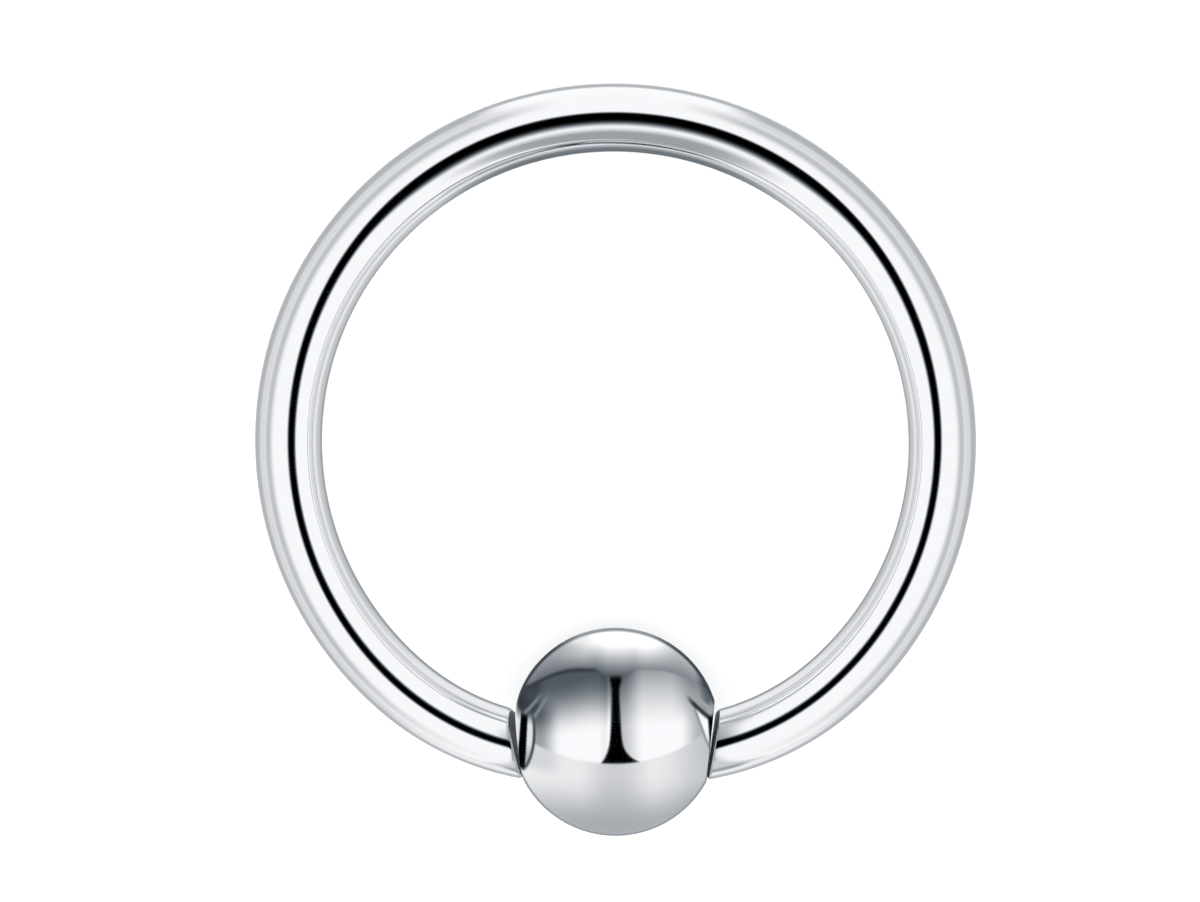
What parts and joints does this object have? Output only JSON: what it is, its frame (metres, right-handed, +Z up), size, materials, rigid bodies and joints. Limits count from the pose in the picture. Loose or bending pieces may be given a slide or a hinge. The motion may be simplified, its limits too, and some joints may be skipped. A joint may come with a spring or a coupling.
{
  "type": "captive bead ring",
  "caption": "Body piercing ring of round polished steel wire, open on one side, with a loose steel ball held in dimples between the wire ends.",
  "frame": {"origin": "on the surface that the ring lies on, under the middle of its box", "axes": "+Z up; the bead is towards -Y and the far side of the ring towards +Y; X runs along the line through the two wire ends"},
  "size_m": [0.0172, 0.018, 0.005],
  "materials": {
    "polished_steel": "polished"
  },
  "bodies": {
    "ring": {"ring": "polished_steel"},
    "bead": {"bead": "polished_steel"}
  },
  "joints": [
    {"name": "bead_spin", "type": "hinge", "parent": "ring", "child": "bead", "pos_m": [0, -0.00681, 0.00254], "axis": [1, 0, 0], "continuous": true}
  ]
}
